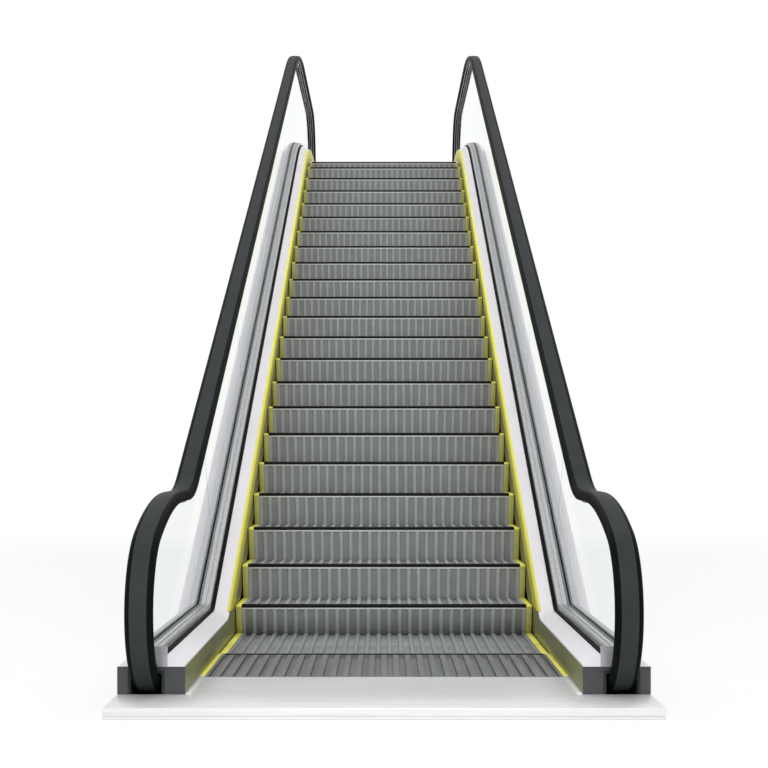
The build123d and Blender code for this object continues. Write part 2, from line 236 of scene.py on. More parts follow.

# %% [markdown]
# ## Metals
# Steps and combs are castings, so their grain is round and their relief sandy; the tops of the ribs are
# smoother, and lighter as a painted highlight. Nose edges, landing plates, clamp and guide are brushed or
# drawn, with fine lines along their length, and the nose edges are light as a painted highlight. A
# photograph of metal could be wrapped on instead, but a noise needs no unwrapping and stays sharp from
# near. The metal share is kept low: in an even white room a full metal would only mirror white.

# %% Metals
step_metal = finish(
    "cast step metal", (146, 148, 149), (138, 140, 141), rough=(0.42, 0.6),
    grain=even(14), fine=even(420), relief=0.2, metal=0.1,
)
# The lighter colour of the ribs is a painted highlight on the ridges.
rib_highlight_metal = finish(
    "rib metal in painted highlight", (174, 176, 177), (166, 168, 169), rough=(0.36, 0.5),
    grain=even(14), fine=even(420), relief=0.12, metal=0.1,
)
# The light colour of the nose edge is a painted highlight on the nose.
nose_highlight_metal = finish(
    "nose metal in painted highlight", (222, 223, 223), (205, 206, 207), rough=(0.3, 0.42),
    grain=(3, 90, 90), fine=(30, 900, 900), relief=0.12, metal=0.1,
)
comb_metal = finish(
    "comb plate metal", (130, 131, 132), (116, 118, 119), rough=(0.38, 0.55),
    grain=(18, 4, 18), fine=even(420), relief=0.2, metal=0.3,
)
floor_metal = finish(
    "landing plate metal", (231, 231, 231), (221, 221, 222), rough=(0.32, 0.46),
    grain=(2, 70, 70), fine=(24, 700, 700), relief=0.15, metal=0.15,
)
clamp_metal = finish(
    "anodised clamp metal", (190, 191, 193), (172, 173, 176), rough=(0.28, 0.4),
    grain=(120, 3, 120), fine=(800, 24, 800), relief=0.12, metal=0.5,
)
guide_metal = finish(
    "brushed guide metal", (186, 187, 188), (164, 165, 167), rough=(0.3, 0.42),
    grain=(120, 4, 4), fine=(800, 24, 24), relief=0.12, metal=0.5,
)
print(len(bpy.data.materials), "finishes with the metals")

# %% [markdown]
# ## Coats and plastics
# Decks and cladding are painted sheet with a soft orange peel, the newel bases have a rougher powder
# coat, and the skirts a thin dry film that lets shoes slide. Treads and trim carry a lively yellow; the
# bands on the risers get a duller mix, which is painted shade.

# %% Coats and plastics
edge_yellow = finish(
    "edge yellow", (254, 247, 112), (247, 239, 100), rough=(0.4, 0.55),
    grain=even(9), fine=even(500), relief=0.12,
)
# The duller yellow of the riser bands is painted shade.
riser_band_shade_yellow = finish(
    "riser band yellow in painted shade", (198, 193, 108), (186, 181, 100), rough=(0.4, 0.55),
    grain=even(9), fine=even(500), relief=0.12,
)
skirt_paint = finish(
    "dry-film skirt coat", (126, 127, 84), (114, 115, 76), rough=(0.3, 0.42),
    grain=even(5), fine=even(600), relief=0.1,
)
deck_paint = finish(
    "pale deck coat", (236, 231, 235), (229, 224, 228), rough=(0.28, 0.4),
    grain=even(3), fine=even(240), relief=0.06,
)
base_paint = finish(
    "newel base coat", (64, 66, 68), (57, 59, 61), rough=(0.38, 0.5),
    grain=even(12), fine=even(600), relief=0.2,
)
cladding_paint = finish(
    "cladding coat", (86, 88, 90), (78, 80, 82), rough=(0.36, 0.48),
    grain=even(4), fine=even(300), relief=0.08,
)
structure_paint = finish(
    "primed steel", (98, 101, 104), (86, 89, 92), rough=(0.5, 0.65),
    grain=even(10), fine=even(260), relief=0.15,
)
print(len(bpy.data.materials), "finishes with the coats")

# %% [markdown]
# ## Rubbers
# Rubber differs by its use. The handrail's crown keeps the grey of the rubber, while its lips and the
# guide slides are black as painted shade; gaskets are nearly black, the nose inserts are nearly black as
# painted shade, and the grips beside the glass are grey. The specular level is turned far down on the
# dark ones, because old rubber hardly shines.

# %% Rubbers
# The near-black nose insert is painted shade for the gap between steps; the comb joint uses the same
# rubber.
nose_shade_and_joint_rubber = finish(
    "dark rubber, nose shade and comb joint", (26, 27, 28), (18, 19, 20), rough=(0.55, 0.7),
    grain=even(40), fine=even(700), relief=0.2, specular=0.1,
)
grip_rubber = finish(
    "glass grip rubber", (128, 130, 132), (112, 114, 116), rough=(0.5, 0.65),
    grain=even(30), fine=even(700), relief=0.12,
)
gasket_rubber = finish(
    "gasket rubber", (22, 23, 24), (16, 17, 18), rough=(0.5, 0.65),
    grain=even(30), fine=even(700), relief=0.12, specular=0.05,
)
rail_rubber = finish(
    "handrail rubber", (57, 60, 60), (52, 55, 55), rough=(0.4, 0.5),
    grain=even(7), fine=even(800), relief=0.12, specular=0.02,
)
# Black lips and guide slides: painted shade on the sides of the handrail and under the guide.
lip_and_slide_shade_rubber = finish(
    "handrail lip and slide rubber in painted shade", (20, 21, 21), (14, 15, 15), rough=(0.4, 0.5),
    grain=even(7), fine=even(800), relief=0.12, specular=0.02,
)
print(len(bpy.data.materials), "finishes with the rubbers")

# %% [markdown]
# ## Glass
# The panes are clear float glass. A low index of refraction keeps what lies behind them in its place
# and stops the faces from mirroring the room, as in the picture.

# %% Glass
GLASS_INDEX = 1.015
glass = bpy.data.materials.new("clear balustrade glass")
glass.use_nodes = True
glass_shader = glass.node_tree.nodes["Principled BSDF"]
glass_shader.inputs["Base Color"].default_value = linear(250, 253, 252)
glass_shader.inputs["Transmission Weight"].default_value = 1.0
glass_shader.inputs["Roughness"].default_value = 0.0
glass_shader.inputs["IOR"].default_value = GLASS_INDEX
print(len(bpy.data.materials), "finishes with the glass")

# %% [markdown]
# ## Trees for rows, points and runs
# Three rules make most of this machine. A row repeats one shape at equal spacing: cleats on a step, ribs
# on a comb plate. A shape on points stands once on every step nose. A run draws one section along a
# line: handrail, clamp, trim. All could be copied in a loop, but as Geometry Nodes trees they keep their
# sizes as named inputs that can be turned later. Each tree ends in real geometry with its finish set,
# because the export drops instances.


# %% Tree helpers
def new_tree(name, **inputs):
    """A tree with a geometry input, the named inputs, and a geometry output."""
    tree = bpy.data.node_groups.new(name, "GeometryNodeTree")
    for label, kind in {"Geometry": "Geometry", **inputs}.items():
        tree.interface.new_socket(label, in_out="INPUT", socket_type="NodeSocket" + kind)
    tree.interface.new_socket("Geometry", in_out="OUTPUT", socket_type="NodeSocketGeometry")
    return tree, tree.nodes.new("NodeGroupInput"), tree.nodes.new("NodeGroupOutput")


def end_tree(tree, given, out, last):
    """Make the instances real and set the finish."""
    real = tree.nodes.new("GeometryNodeRealizeInstances")
    paint = tree.nodes.new("GeometryNodeSetMaterial")
    tree.links.new(given.outputs["Finish"], paint.inputs["Material"])
    for before, after in ((last, real), (real, paint), (paint, out)):
        tree.links.new(before.outputs[0], after.inputs[0])
    print("tree:", tree.name)
    return tree


def calc(tree, operation, *terms):
    """A Math node on two terms, each a socket or a number."""
    made = tree.nodes.new("ShaderNodeMath")
    made.operation = operation
    for socket, term in zip(made.inputs, terms):
        if isinstance(term, float):
            socket.default_value = term
        else:
            tree.links.new(term, socket)
    return made.outputs[0]


print("helpers for trees ready")


# %% Row tree
def row_tree():
    """One shape at equal spacing along X, centred."""
    sizes = {"Count": "Int", "Spacing": "Float"}
    tree, given, out = new_tree("row along X", Shape="Object", Finish="Material", **sizes)
    count, spacing = given.outputs["Count"], given.outputs["Spacing"]
    length = calc(tree, "MULTIPLY", calc(tree, "SUBTRACT", count, 1.0), spacing)
    start = tree.nodes.new("ShaderNodeCombineXYZ")
    apart = tree.nodes.new("ShaderNodeCombineXYZ")
    line = tree.nodes.new("GeometryNodeMeshLine")
    shape = tree.nodes.new("GeometryNodeObjectInfo")
    spread_out = tree.nodes.new("GeometryNodeInstanceOnPoints")
    link = tree.links.new
    link(calc(tree, "MULTIPLY", length, -0.5), start.inputs["X"])
    link(spacing, apart.inputs["X"])
    link(count, line.inputs["Count"])
    link(start.outputs[0], line.inputs["Start Location"])
    link(apart.outputs[0], line.inputs["Offset"])
    link(given.outputs["Shape"], shape.inputs["Object"])
    link(line.outputs[0], spread_out.inputs["Points"])
    link(shape.outputs["Geometry"], spread_out.inputs["Instance"])
    return end_tree(tree, given, out, spread_out)


rows = row_tree()


# %% Points tree
def points_tree():
    """One shape on every point."""
    tree, given, out = new_tree("shape on points", Shape="Object", Finish="Material")
    shape = tree.nodes.new("GeometryNodeObjectInfo")
    spread_out = tree.nodes.new("GeometryNodeInstanceOnPoints")
    link = tree.links.new
    link(given.outputs["Shape"], shape.inputs["Object"])
    link(given.outputs["Geometry"], spread_out.inputs["Points"])
    link(shape.outputs["Geometry"], spread_out.inputs["Instance"])
    return end_tree(tree, given, out, spread_out)


spread = points_tree()


# %% Run tree
def run_tree():
    """One closed section drawn along a line."""
    tree, given, out = new_tree("section along line", Section="Object", Finish="Material")
    line = tree.nodes.new("GeometryNodeMeshToCurve")
    section = tree.nodes.new("GeometryNodeObjectInfo")
    outline = tree.nodes.new("GeometryNodeMeshToCurve")
    draw = tree.nodes.new("GeometryNodeCurveToMesh")
    draw.inputs["Fill Caps"].default_value = True
    link = tree.links.new
    link(given.outputs["Geometry"], line.inputs[0])
    link(given.outputs["Section"], section.inputs["Object"])
    link(section.outputs["Geometry"], outline.inputs[0])
    link(line.outputs[0], draw.inputs["Curve"])
    link(outline.outputs[0], draw.inputs["Profile Curve"])
    return end_tree(tree, given, out, draw)


runs = run_tree()


# %% Growing a piece
def grow(made, tree, sharp=SMOOTH_UP_TO, **inputs):
    """Run a tree on an object with the named inputs, and leave a plain mesh."""
    nodes = made.modifiers.new("grow", "NODES")
    nodes.node_group = tree
    for item in tree.interface.items_tree:
        if item.in_out == "INPUT" and item.name in inputs:
            nodes[item.identifier] = inputs[item.name]
    return plain(made, sharp)


def row(name, shape, count, spacing, material):
    """A shape repeated along X; the shape itself is used up."""
    made = grow(piece(name, []), rows, Shape=shape, Count=count, Spacing=spacing, Finish=material)
    bpy.data.objects.remove(shape)
    return made


def on_points(name, shape, points, material):
    """A shape on every point; the shape itself is used up."""
    made = grow(piece(name, points), spread, Shape=shape, Finish=material)
    bpy.data.objects.remove(shape)
    return made


def ring(count):
    """Pairs of neighbours round a closed outline."""
    return [(i, (i + 1) % count) for i in range(count)]


def run(name, line, section, material, closed=False, sharp=SMOOTH_UP_TO):
    """Draw a section of points (x, out) along a line of points (y, z).

    A line that sets out towards -Y turns its section round, so the section is turned back first.
    """
    edges = ring(len(line)) if closed else ring(len(line))[:-1]
    turned = 1 if line[1][0] > line[0][0] else -1
    made = piece(name, [(0, y, z) for y, z in line], edges=edges)
    corners = [(turned * x, -turned * out, 0) for x, out in section]
    outline = piece("section", corners, edges=ring(len(section)))
    grow(made, runs, sharp, Section=outline, Finish=material)
    bpy.data.objects.remove(outline)
    return made


print(len(bpy.data.node_groups), "trees ready")


# %% [markdown]
# ## Joining, mirroring, rounding
# The left side of the machine is the right side mirrored, and many solids only need their edges broken
# to catch the light. A merged copy of the solid with a narrow Bevel does that; the solid itself is left
# alone and the copy stands for it.


# %% Joining and mirroring
def join(name, pieces):
    """One object out of several plain ones, which are used up."""
    shape = bmesh.new()
    materials = []
    for part in pieces:
        offset = len(materials)
        materials += list(part.data.materials)
        mesh = part.data.copy()
        for face in mesh.polygons:
            face.material_index += offset
        shape.from_mesh(mesh)
        bpy.data.meshes.remove(mesh)
        bpy.data.objects.remove(part)
    made = piece(name, [])
    for material in materials:
        made.data.materials.append(material)
    shape.to_mesh(made.data)
    shape.free()
    return made


def mirrored(made, name):
    """The same piece on the other side."""
    other = piece(name, [])
    shape = bmesh.new()
    shape.from_mesh(made.data)
    bmesh.ops.scale(shape, vec=(-1, 1, 1), verts=shape.verts)
    bmesh.ops.reverse_faces(shape, faces=shape.faces)
    shape.to_mesh(other.data)
    shape.free()
    for material in made.data.materials:
        other.data.materials.append(material)
    return other


SIDES = ("right", "left")


def pair(made, name, slot, *nodes):
    """The right-hand piece and its mirror image, each for its own solids."""
    other = mirrored(made, name + "_left")
    made.name = name + "_right"
    for side, part in zip(SIDES, (made, other)):
        fit(part, slot, *[f"{node}_{side}" for node in nodes])


print("sides:", SIDES)

# %% Bars and rounded copies
BEVEL_PARTS, BEVEL_FROM = 2, 35
FLAT_UP_TO = 0.4


def rounding(made, width):
    """Break the edges of a piece with a narrow Bevel."""
    bevel = made.modifiers.new("rounding", "BEVEL")
    bevel.width = width
    bevel.segments = BEVEL_PARTS
    bevel.limit_method = "ANGLE"
    bevel.angle_limit = radians(BEVEL_FROM)


def bar(name, x, y, z, material, edge=0.0):
    """An upright block between pairs of limits, its edges rounded."""
    corners = [(a, b, c) for c in z for b in y for a in x]
    faces = [(0, 2, 3, 1), (4, 5, 7, 6), (0, 1, 5, 4), (2, 6, 7, 3), (0, 4, 6, 2), (1, 3, 7, 5)]
    made = piece(name, corners, faces)
    made.data.materials.append(material)
    if edge:
        rounding(made, edge)
    return plain(made)


def rounded_copy(node, material, slot, width):
    """A merged copy of a solid with its edges broken, standing for the solid."""
    made = bpy.data.objects.new(node + "_finished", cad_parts[node].data.copy())
    scene.collection.objects.link(made)
    shape = bmesh.new()
    shape.from_mesh(made.data)
    bmesh.ops.remove_doubles(shape, verts=shape.verts, dist=MERGE)
    flat = radians(FLAT_UP_TO)
    bmesh.ops.dissolve_limit(shape, angle_limit=flat, verts=shape.verts, edges=shape.edges)
    shape.to_mesh(made.data)
    shape.free()
    made.data.materials.clear()
    made.data.materials.append(material)
    rounding(made, width)
    return fit(plain(made), slot, node)


print("edges over", BEVEL_FROM, "degrees are rounded")

# %% [markdown]
# ## Steps
# An escalator step is one casting: a tread with cleats along the way of travel, and a raked riser with
# cleats that mesh with the next step. The cleats are what the eye reads, so they are real ridges with
# broken edges rather than a bump; on the raised steps they have a lighter finish than the plate, a
# painted highlight on the ridges.
# Plates and cleats are separate shapes, each with its own finish: both are placed on every nose, cut off
# at the base pan and joined.

# %% Step sizes
STEP_HALF, CLEAT_HALF = 0.715, 0.687
CLEATS, CLEAT_SHARE, CLEAT_EDGE = 28, 0.38, 0.0025
TREAD, TREAD_FLOOR, TREAD_UNDER = 0.336, -0.010, -0.024
RISER_START, RISER_LAP = 0.016, 0.020
RISER_FLOOR, RISER_BACK = -0.008, -0.020
RIB_SINK = 0.002
EDGE = 0.002
NOSE_DARK, NOSE_BRIGHT = 0.013, 0.022
PAN_TOP = 0.0105
rake = SLOPE / 2
riser_foot = 2 * PITCH * sin(rake) + RISER_LAP
cleat_pitch = CLEAT_HALF * 2 / (CLEATS - 1 + CLEAT_SHARE)
cleat_width = cleat_pitch * CLEAT_SHARE
step_sides = (-STEP_HALF, STEP_HALF)
print("cleats", round(cleat_width * 1000, 1), "mm wide at", round(cleat_pitch * 1000, 1), "mm")


# %% Plates and ribs
def prism(name, section, start, end):
    """A section of points (x, z) drawn from one Y to another."""
    count = len(section)
    points = [(x, y, z) for y in (start, end) for x, z in section]
    faces = [(i, j, j + count, i + count) for i, j in ring(count)]
    faces += [tuple(reversed(range(count))), tuple(range(count, 2 * count))]
    return piece(name, points, faces)


def cleat(start, end, floor):
    """One ridge with broken upper edges, its foot sunk in the plate."""
    w, b = cleat_width / 2, CLEAT_EDGE
    ridge = [(-w, floor), (-w, -b), (-w + b, 0), (w - b, 0), (w, -b), (w, floor)]
    return prism("cleat", ridge, start, end)


def hang(made):
    """Turn a piece drawn along +Y, face up, to run down the rake, face to the front."""
    side = Vector((1, 0, 0))
    down = Vector((0, sin(rake), -cos(rake)))
    face = Vector((0, -cos(rake), -sin(rake)))
    made.data.transform(Matrix((side, down, face)).transposed().to_4x4())
    return made


def tread_plate(start):
    return bar("tread plate", step_sides, (start, TREAD), (TREAD_UNDER, TREAD_FLOOR), step_metal, EDGE)


def tread_ribs(start):
    ridge = cleat(start, TREAD, TREAD_FLOOR - RIB_SINK)
    return row("tread ribs", ridge, CLEATS, cleat_pitch, rib_highlight_metal)


def riser_plate():
    length, depth = (RISER_START, riser_foot), (RISER_BACK, RISER_FLOOR)
    return hang(bar("riser plate", step_sides, length, depth, step_metal))


def riser_ribs():
    ridge = cleat(NOSE_BRIGHT, riser_foot, RISER_FLOOR - RIB_SINK)
    return hang(row("riser ribs", ridge, CLEATS, cleat_pitch, rib_highlight_metal))


def step_shapes(raised):
    """The plates and the ribs of one step."""
    if not raised:
        return tread_plate(0.0), tread_ribs(0.0)
    plates = [tread_plate(NOSE_DARK), riser_plate()]
    return join("plates", plates), join("ribs", [tread_ribs(NOSE_DARK), riser_ribs()])


print("riser", round(riser_foot, 3), "m down the rake")


# %% Steps on their noses
def cut_below(made, height):
    """Take away what lies under a height, and close the cut."""
    shape = bmesh.new()
    shape.from_mesh(made.data)
    cut = bmesh.ops.bisect_plane(
        shape,
        geom=shape.verts[:] + shape.edges[:] + shape.faces[:],
        plane_co=(0, 0, height),
        plane_no=(0, 0, -1),
        clear_outer=True,
    )
    edges = [part for part in cut["geom_cut"] if isinstance(part, bmesh.types.BMEdge)]
    bmesh.ops.holes_fill(shape, edges=edges, sides=0)
    shape.to_mesh(made.data)
    shape.free()
    return made


def place(name, shape, points, material):
    """A shape on the noses, cut off where it would pass through the base pan."""
    return cut_below(on_points(name, shape, [(0, y, z) for y, z in points], material), PAN_TOP)


LOWER_FLATS, GROUP, UPPER_FLATS = 2, 8, 2
incline_end = STEPS - UPPER_FLATS
groups = {"lower_flat_steps": (0, LOWER_FLATS)}
for i, name in enumerate(("lower_steps", "middle_steps", "upper_steps")):
    first = LOWER_FLATS + i * GROUP
    groups[name] = (first, min(first + GROUP, incline_end))
groups["upper_flat_steps"] = (incline_end, STEPS)
for name, (start, end) in groups.items():
    raised = start > 0
    plates, ribs = step_shapes(raised)
    # Raised steps take the painted highlight on their ribs; the flat steps keep the plate's colour.
    rib_finish = rib_highlight_metal if raised else step_metal
    spots = noses[start:end]
    parts = [place("plates", plates, spots, step_metal), place("ribs", ribs, spots, rib_finish)]
    fit(join(name + "_ribbed", parts), "step_aluminium", name)

# %% [markdown]
# ## Nose lines
# A dark insert along each nose is painted shade for the gap between steps, and a bright edge under it is
# a painted highlight on the nose. From the front these two lines are what separates one riser from the
# next, so each is a bar of its own.

# %% Nose lines
NOSE_START, NOSE_PROUD = 0.001, 0.001
cleat_sides = (-CLEAT_HALF, CLEAT_HALF)
top_depth = (TREAD_FLOOR - RIB_SINK, 0)
# The dark insert is painted shade for the gap between steps.
dark = join(
    "nose insert",
    [
        hang(bar("front", cleat_sides, (0, NOSE_DARK), (RISER_BACK, 0), nose_shade_and_joint_rubber, EDGE)),
        bar("top", cleat_sides, (NOSE_START, NOSE_DARK), top_depth, nose_shade_and_joint_rubber, EDGE),
    ],
)
edge_depth = (RISER_BACK, NOSE_PROUD)
# The bright edge is a painted highlight on the nose.
bright = hang(bar("nose edge", cleat_sides, (NOSE_DARK, NOSE_BRIGHT), edge_depth, nose_highlight_metal, EDGE))
raised_noses = noses[LOWER_FLATS:]
fit(place("nose_inserts", dark, raised_noses, nose_shade_and_joint_rubber), "handrail_rubber")
fit(place("nose_edges", bright, raised_noses, nose_highlight_metal), "step_aluminium")

# %% [markdown]
# ## Yellow edges
# A rider is kept off the skirts by a yellow band at both ends of every step, duller on the riser than on
# the tread as painted shade, and by a narrow strip beside the combs, which runs on along the floor plates
# in their own finish. The bands are bars placed on the noses like the cleats, and the strips are plain
# bars.

# %% Step bands
BAND_SINK, BAND_START = 0.001, 0.003
band_sides = (CLEAT_HALF, STEP_HALF)
tread_depth, riser_depth = (TREAD_FLOOR - BAND_SINK, 0), (RISER_FLOOR - BAND_SINK, 0)
on_tread = bar("band", band_sides, (0, TREAD), tread_depth, edge_yellow, EDGE)
# On the risers the band takes the duller yellow, a painted shade.
on_riser = hang(bar("band", band_sides, (BAND_START, riser_foot), riser_depth, riser_band_shade_yellow, EDGE))
bands = [
    place("tread bands", on_tread, noses, edge_yellow),
    place("riser bands", on_riser, raised_noses, riser_band_shade_yellow),
]
print("bands on", len(noses), "treads and", len(raised_noses), "risers")

# %% Landing strips
SKIRT_IN = 0.719
STRIP_WIDTH, STRIP_DEPTH, STRIP_EDGE = 0.020, 0.010, 0.0015
COMB_LIFT, COMB_GAP, COMB_LENGTH = 0.004, 0.004, 0.562
lower_root = noses[0][0] - COMB_GAP
upper_root = noses[-1][0] + TREAD + COMB_GAP
landing_half = SKIRT_IN - STRIP_WIDTH
landing_strips = [
    (FRONT, lower_root - COMB_LENGTH, LOW, floor_metal),
    (lower_root - COMB_LENGTH, lower_root, LOW, edge_yellow),
    (upper_root, upper_root + COMB_LENGTH, HIGH, edge_yellow),
    (upper_root + COMB_LENGTH, BACK, HIGH, floor_metal),
]
strips = []
for start, end, level, material in landing_strips:
    heights = (level - STRIP_DEPTH, level + COMB_LIFT)
    strips.append(bar("strip", (landing_half, SKIRT_IN), (start, end), heights, material, STRIP_EDGE))
print(len(strips), "strips to a side")

# %% [markdown]
# ## Skirt trim
# Up the incline a folded trim laps from the skirt over the edge of the deck. It could be bent from a flat
# strip; as one section run along the step line it keeps its fold through the bend. Its foot is cut off
# level.

# %% Skirt trim
TRIM_START, TRIM_FOOT = 0.066, 0.176
# Across from the skirt's face, and up from the step line.
TRIM_SECTION = [
    (0.0, 0.025), (-0.003, 0.025), (-0.006, 0.030), (-0.006, 0.1075), (-0.003, 0.1105),
    (0.009, 0.1105), (0.011, 0.112), (0.011, 0.1095), (0.008, 0.1075), (0.0, 0.1075),
]
trim_line = [(TRIM_START, LOW + TRIM_START * tan(SLOPE))]
trim_line += bend_level((RUN, HIGH), UPPER_BEND) + [(upper_root, HIGH)]
trim = run("trim", trim_line, [(SKIRT_IN + x, out) for x, out in TRIM_SECTION], edge_yellow)
strips.append(cut_below(trim, TRIM_FOOT))
pair(join("edge_bands", bands + strips), "edge_bands", "edge_yellow", "edge_strips")

# %% [markdown]
# ## Comb plates
# Where the steps slide under the landing, comb teeth lie in the grooves between the cleats. The teeth
# are the same row as the cleats, moved half a pitch, and each one runs back as a rib over the plate. A
# dark strip lies across the ribs where the teeth begin.

# %% Comb plates
TOOTH, TOOTH_SHARE = 0.070, 0.74
TOOTH_UNDER, TIP_TOP = -0.008, -0.006
RIB_FOOT, PLATE_TOP, PLATE_UNDER = -0.011, -0.010, -0.030
COMB_JOINT, JOINT_HALF = 0.030, 0.001
COMB_EDGE = 0.0015


def blade(heel, root, tip):
    """One tooth with the rib behind it, drawn from the side."""
    half = (cleat_pitch - cleat_width) * TOOTH_SHARE / 2
    side = [(heel, RIB_FOOT), (heel, COMB_LIFT), (root, COMB_LIFT), (tip, TIP_TOP)]
    side += [(tip, TOOTH_UNDER), (root, TOOTH_UNDER), (root, RIB_FOOT)]
    count = len(side)
    points = [(x, y, z) for x in (-half, half) for y, z in side]
    faces = [(i, j, j + count, i + count) for i, j in ring(count)]
    faces += [tuple(reversed(range(count))), tuple(range(count, 2 * count))]
    return piece("blade", points, faces)


def comb(name, root, toward, level, node):
    """A ribbed plate with teeth that point along +Y or -Y."""
    heel, tip = root - toward * COMB_LENGTH, root + toward * TOOTH
    span, joint = sorted((heel, root)), sorted((root - toward * COMB_JOINT, root))
    rib_depth, joint_depth = (RIB_FOOT, COMB_LIFT), (COMB_LIFT - JOINT_HALF, COMB_LIFT + JOINT_HALF)
    blades = row("blades", blade(heel, root, tip), CLEATS - 1, cleat_pitch, comb_metal)
    parts = [
        bar("plate", (-SKIRT_IN, SKIRT_IN), span, (PLATE_UNDER, PLATE_TOP), comb_metal),
        bar("edge", (CLEAT_HALF, landing_half), span, rib_depth, comb_metal, COMB_EDGE),
        bar("edge", (-landing_half, -CLEAT_HALF), span, rib_depth, comb_metal, COMB_EDGE),
        bar("joint foot", cleat_sides, joint, rib_depth, comb_metal),
        bar("joint", cleat_sides, joint, joint_depth, nose_shade_and_joint_rubber),
        blades,
    ]
    made = join(name, parts)
    made.data.transform(Matrix.Translation((0, 0, level)))
    fit(made, "comb_aluminium", node)


comb("lower_comb", lower_root, 1, LOW, "lower_comb_plate")
comb("upper_comb", upper_root, -1, HIGH, "upper_comb_plate")

# %% [markdown]
# ## Plates, skirts, decks and cladding
# These are folded sheet. Their solids have the right shape, so each gets a merged copy with a narrow
# rounded edge and its finish. The panes keep their solids and only take the glass.

# %% Sheet pieces
PLATE_EDGE, SHEET_EDGE, SKIRT_EDGE = 0.003, 0.002, 0.0015
for node in ("lower_floor_plate", "upper_floor_plate"):
    rounded_copy(node, floor_metal, "floor_steel", PLATE_EDGE)
for side in SIDES:
    rounded_copy(f"skirt_{side}", skirt_paint, "skirt_dark", SKIRT_EDGE)
    rounded_copy(f"inner_deck_{side}", deck_paint, "deck_pale", SHEET_EDGE)
    rounded_copy(f"outer_deck_{side}", deck_paint, "deck_pale", SHEET_EDGE)
    rounded_copy(f"side_cladding_{side}", cladding_paint, "cladding_dark", SHEET_EDGE)
    rounded_copy(f"lower_newel_base_{side}", base_paint, "base_dark", PLATE_EDGE)
    rounded_copy(f"upper_newel_base_{side}", base_paint, "base_dark", PLATE_EDGE)
    rounded_copy(f"step_track_{side}", structure_paint, "structure_steel", SHEET_EDGE)
    rounded_copy(f"handrail_guide_{side}", guide_metal, "guide_steel", PLATE_EDGE)
    for node in ("lower_newel_glass", "incline_glass", "upper_newel_glass"):
        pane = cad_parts[f"{node}_{side}"].data
        pane.materials.clear()
        pane.materials.append(glass)
rounded_copy("soffit", cladding_paint, "cladding_dark", SHEET_EDGE)
rounded_copy("base_pan", floor_metal, "floor_steel", SHEET_EDGE)
for node in ("upper_cross_beam", "upper_end_plate", "upper_bearer"):
    rounded_copy(node, structure_paint, "structure_steel", SHEET_EDGE)

# %% [markdown]
# ## Glass clamp
# The panes stand in an extruded aluminium channel. Its section is drawn once, with rounded shoulders
# and a shallow groove, and run along the step line.

# %% Clamp
GLASS_X = 0.860
CLAMP_IN, CLAMP_OUT = 0.783, 0.905
CLAMP_LOW, CLAMP_TOP, SLOT_FLOOR = 0.092, 0.174, 0.134
SLOT_HALF, GASKET, JOINT = 0.007, 0.009, 0.017
SHOULDER_IN, SHOULDER_OUT, SHOULDER_PARTS = 0.010, 0.008, 5
GROOVE_MOUTH, GROOVE_FLOOR, GROOVE_DEPTH = 0.003, 0.002, 0.004


def shoulder(x, top, radius, start, end, parts=SHOULDER_PARTS):
    """Quarter round on a section, round a centre below the top."""
    angles = [start + (end - start) * i / parts for i in range(parts + 1)]
    return [(x + radius * cos(a), top - radius + radius * sin(a)) for a in angles]


inner_face = CLAMP_IN + JOINT
grip_in = GLASS_X - SLOT_HALF - GASKET
grip_out = 2 * GLASS_X - grip_in
groove, groove_low = (inner_face + grip_in) / 2, CLAMP_TOP - GROOVE_DEPTH
clamp_section = (
    [(inner_face, CLAMP_LOW)]
    + shoulder(inner_face + SHOULDER_IN, CLAMP_TOP, SHOULDER_IN, pi, pi / 2)
    + [(groove - GROOVE_MOUTH, CLAMP_TOP), (groove - GROOVE_FLOOR, groove_low)]
    + [(groove + GROOVE_FLOOR, groove_low), (groove + GROOVE_MOUTH, CLAMP_TOP)]
    + [(grip_in, CLAMP_TOP), (grip_in, SLOT_FLOOR), (grip_out, SLOT_FLOOR), (grip_out, CLAMP_TOP)]
    + shoulder(CLAMP_OUT - SHOULDER_OUT, CLAMP_TOP, SHOULDER_OUT, pi / 2, 0)
    + [(CLAMP_OUT, CLAMP_LOW)]
)
nose_line = step_line(0)
pair(run("clamp", nose_line, clamp_section, clamp_metal), "clamp_channel", "clamp_aluminium", "glass_clamp")

# %% [markdown]
# ## Gaskets
# Black rubber fills the joint between deck and clamp, and grey rubber grips the glass on both faces. The
# lines are narrow but make the profile read from afar, so each is a rounded section of its own rather
# than a painted stripe.

# %% Gaskets
GLASS_HALF, GRIP_LIFT = 0.006, 0.004
JOINT_LOW, JOINT_TOP, JOINT_LAP, PRESS = 0.120, 0.152, 0.001, 0.0005
GASKET_ROUND, GASKET_PARTS = 0.003, 3


def gasket(name, x_low, x_high, low, high, material):
    """A rubber with a rounded top, run along the step line."""
    r, parts = GASKET_ROUND, GASKET_PARTS
    section = (
        [(x_low, low)]
        + shoulder(x_low + r, high, r, pi, pi / 2, parts)
        + shoulder(x_high - r, high, r, pi / 2, 0, parts)
        + [(x_high, low)]
    )
    return run(name, nose_line, section, material)


grip_top = CLAMP_TOP + GRIP_LIFT
gaskets = [
    gasket("deck joint", CLAMP_IN - JOINT_LAP, inner_face + PRESS, JOINT_LOW, JOINT_TOP, gasket_rubber),
    gasket("inner grip", grip_in - PRESS, GLASS_X - GLASS_HALF, SLOT_FLOOR, grip_top, grip_rubber),
    gasket("outer grip", GLASS_X + GLASS_HALF, grip_out + PRESS, SLOT_FLOOR, grip_top, grip_rubber),
]
pair(join("gaskets", gaskets), "clamp_gaskets", "handrail_rubber")

# %% [markdown]
# ## End caps
# A dark cap faces each newel base and leaves an arch for the handrail, and a rubber collar lines that
# arch. Above the cap, deck and clamp are closed in their own finish, so that the base reads as one low
# block. Each cap is one outline in X and Z, drawn out by its thickness.

